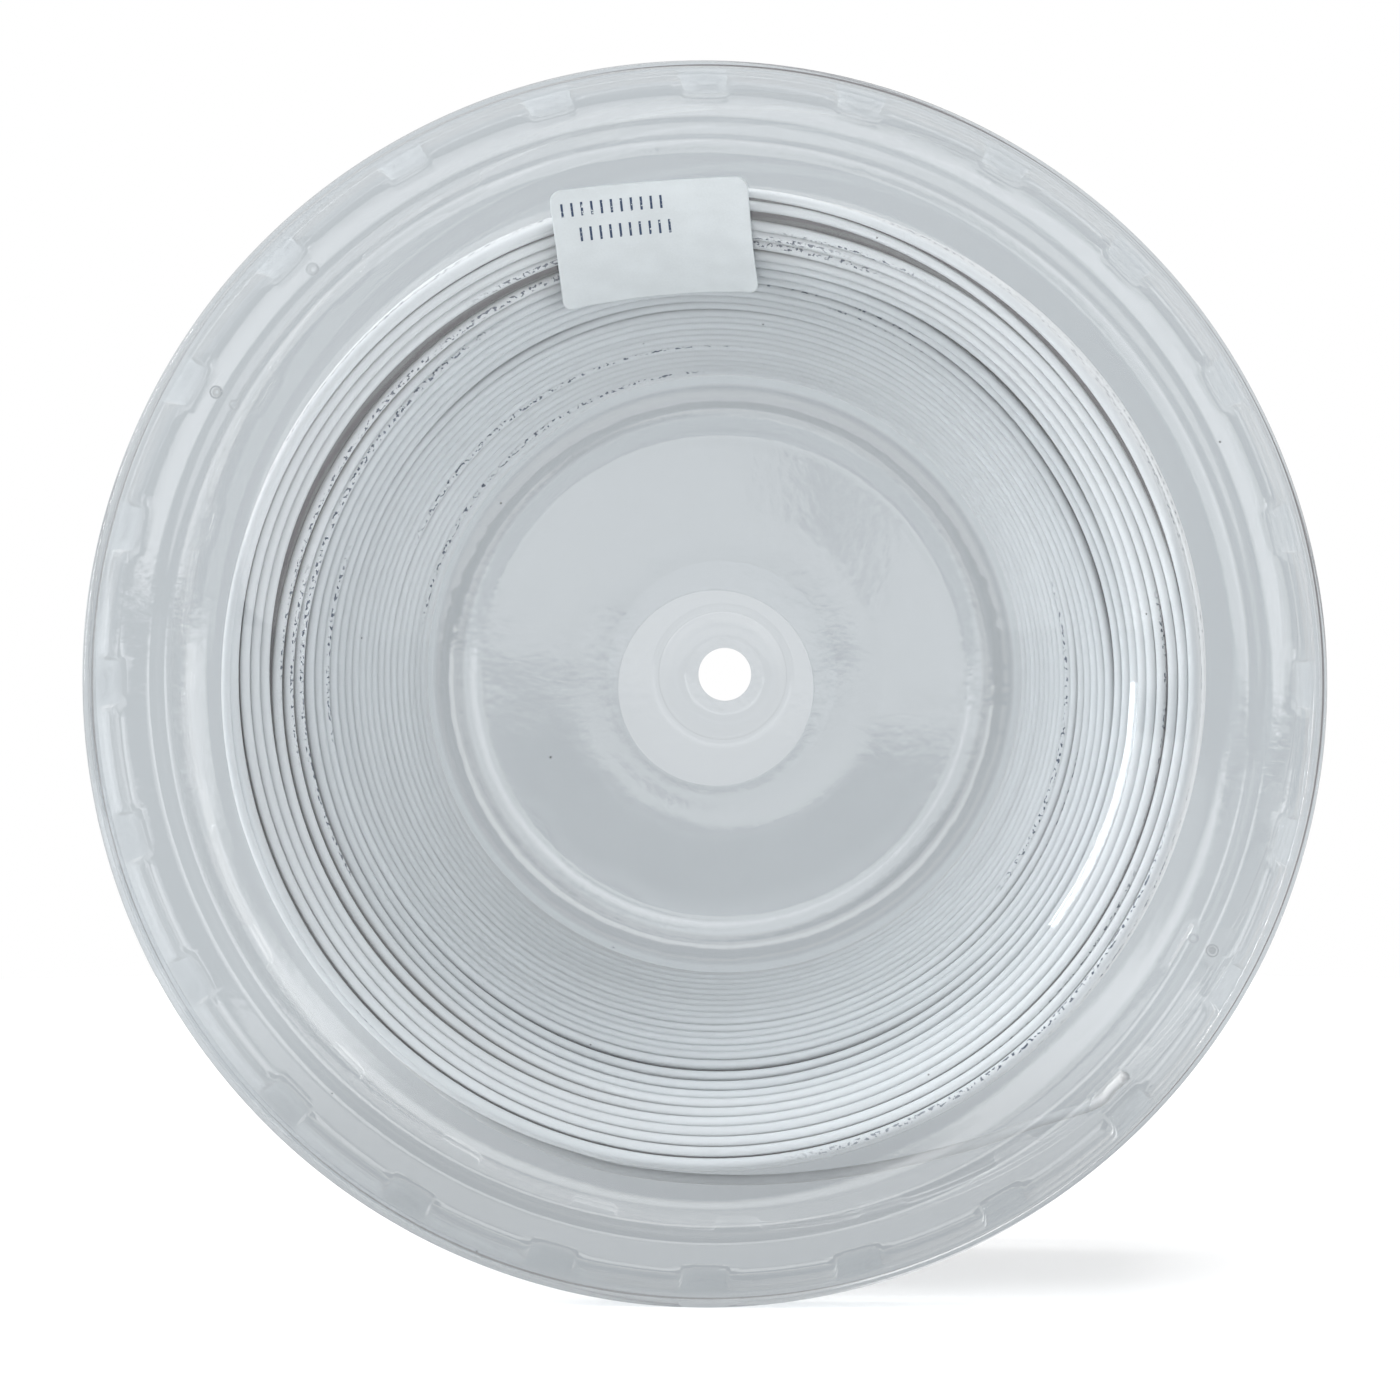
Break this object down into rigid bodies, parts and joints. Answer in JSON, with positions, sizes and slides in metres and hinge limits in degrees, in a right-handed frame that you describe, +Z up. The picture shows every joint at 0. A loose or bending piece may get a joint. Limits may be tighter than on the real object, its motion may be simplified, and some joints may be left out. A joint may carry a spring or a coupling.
{
  "type": "string reel",
  "caption": "Clear plastic reel of racket string: trumpet-shaped bowls joined at their webs, with wound white string between the flanges and its end held in a slit.",
  "frame": {"origin": "on the floor midway between the two rims, straight below the reel's axis", "axes": "+Z up, the reel's axis along Y with the front bowl opening towards -Y, +X to the right seen from the front"},
  "size_m": [0.144, 0.078, 0.144],
  "materials": {
    "clear_plastic": "clear, glossy",
    "adhesive": "clear, slightly grey",
    "string": "white, silky",
    "paper": "matt paper"
  },
  "bodies": {
    "root": {"front_bowl": "clear_plastic", "rear_bowl": "clear_plastic", "web_adhesive": "adhesive", "string_coil": "string", "string_tail": "string", "price_label": "paper"}
  },
  "joints": []
}
